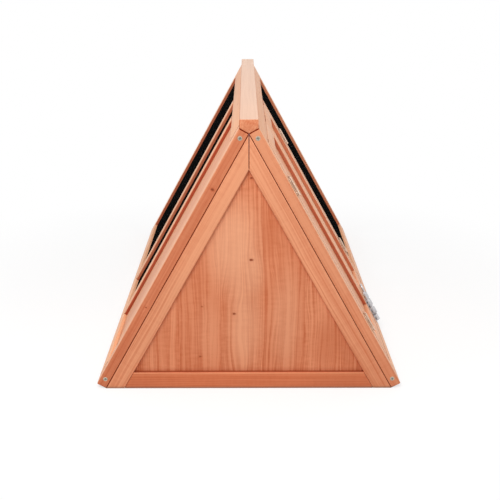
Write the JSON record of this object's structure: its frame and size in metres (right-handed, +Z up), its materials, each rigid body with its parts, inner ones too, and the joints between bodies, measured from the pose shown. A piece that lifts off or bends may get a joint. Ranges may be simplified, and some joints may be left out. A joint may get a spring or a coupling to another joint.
{
  "type": "chicken coop",
  "caption": "Small wooden A-frame chicken coop with a solid sleeping end, a pair of framed doors with barrel bolts on one slope, and wire nets along the run.",
  "frame": {"origin": "middle of the footprint, on the ground", "axes": "+Z up, +Y along the ridge from the solid near end to the open far end, +X towards the slope with the doors"},
  "size_m": [0.6, 1, 0.533],
  "materials": {
    "frame_wood": "stained fir, satin",
    "panel_wood": "stained fir boards, satin",
    "black_wire": "black coated welded wire",
    "zinc": "zinc plated"
  },
  "bodies": {
    "coop": {"left_near_stile": "frame_wood", "left_far_stile": "frame_wood", "left_top_rail": "frame_wood", "left_bottom_rail": "frame_wood", "left_near_division": "frame_wood", "left_far_division": "frame_wood", "left_near_panel": "panel_wood", "left_middle_net": "black_wire", "left_far_net": "black_wire", "left_near_bottom_screw": "zinc", "left_near_top_screw": "zinc", "left_far_bottom_screw": "zinc", "left_far_top_screw": "zinc", "right_near_stile": "frame_wood", "right_far_stile": "frame_wood", "right_top_rail": "frame_wood", "right_bottom_rail": "frame_wood", "right_division": "frame_wood", "right_far_net": "black_wire", "right_near_bottom_screw": "zinc", "right_near_top_screw": "zinc", "right_far_bottom_screw": "zinc", "right_far_top_screw": "zinc", "near_end_left_stile": "frame_wood", "near_end_right_stile": "frame_wood", "near_end_bottom_rail": "frame_wood", "near_end_panel": "panel_wood", "far_end_left_stile": "frame_wood", "far_end_right_stile": "frame_wood", "far_end_bottom_rail": "frame_wood", "far_end_net": "black_wire", "ridge_beam": "frame_wood", "near_door_lower_hinge_frame_leaf": "zinc", "near_door_lower_hinge_pin": "zinc", "near_door_upper_hinge_frame_leaf": "zinc", "near_door_upper_hinge_pin": "zinc", "near_door_keeper": "zinc", "middle_door_lower_hinge_frame_leaf": "zinc", "middle_door_lower_hinge_pin": "zinc", "middle_door_upper_hinge_frame_leaf": "zinc", "middle_door_upper_hinge_pin": "zinc", "middle_door_keeper": "zinc"},
    "near_door": {"near_door_hinge_stile": "frame_wood", "near_door_lock_stile": "frame_wood", "near_door_top_rail": "frame_wood", "near_door_bottom_rail": "frame_wood", "near_door_panel": "panel_wood", "near_door_bolt_plate": "zinc", "near_door_lower_hinge_door_leaf": "zinc", "near_door_upper_hinge_door_leaf": "zinc"},
    "near_door_bolt": {"near_door_bolt_rod": "zinc"},
    "middle_door": {"middle_door_hinge_stile": "frame_wood", "middle_door_lock_stile": "frame_wood", "middle_door_top_rail": "frame_wood", "middle_door_bottom_rail": "frame_wood", "middle_door_panel": "panel_wood", "middle_door_bolt_plate": "zinc", "middle_door_lower_hinge_door_leaf": "zinc", "middle_door_upper_hinge_door_leaf": "zinc"},
    "middle_door_bolt": {"middle_door_bolt_rod": "zinc"}
  },
  "joints": [
    {"name": "near_door_swing", "type": "hinge", "parent": "coop", "child": "near_door", "pos_m": [0.30253, -0.46325, 0.01114], "axis": [0.4863, 0, -0.8738], "range_deg": [0, 175]},
    {"name": "middle_door_swing", "type": "hinge", "parent": "coop", "child": "middle_door", "pos_m": [0.30253, 0.00875, 0.01114], "axis": [-0.4863, 0, 0.8738], "range_deg": [0, 175]},
    {"name": "near_door_bolt_slide", "type": "slide", "parent": "near_door", "child": "near_door_bolt", "axis": [0.4863, 0, -0.8738], "range_m": [0, 0.012]},
    {"name": "middle_door_bolt_slide", "type": "slide", "parent": "middle_door", "child": "middle_door_bolt", "axis": [0.4863, 0, -0.8738], "range_m": [0, 0.012]}
  ]
}
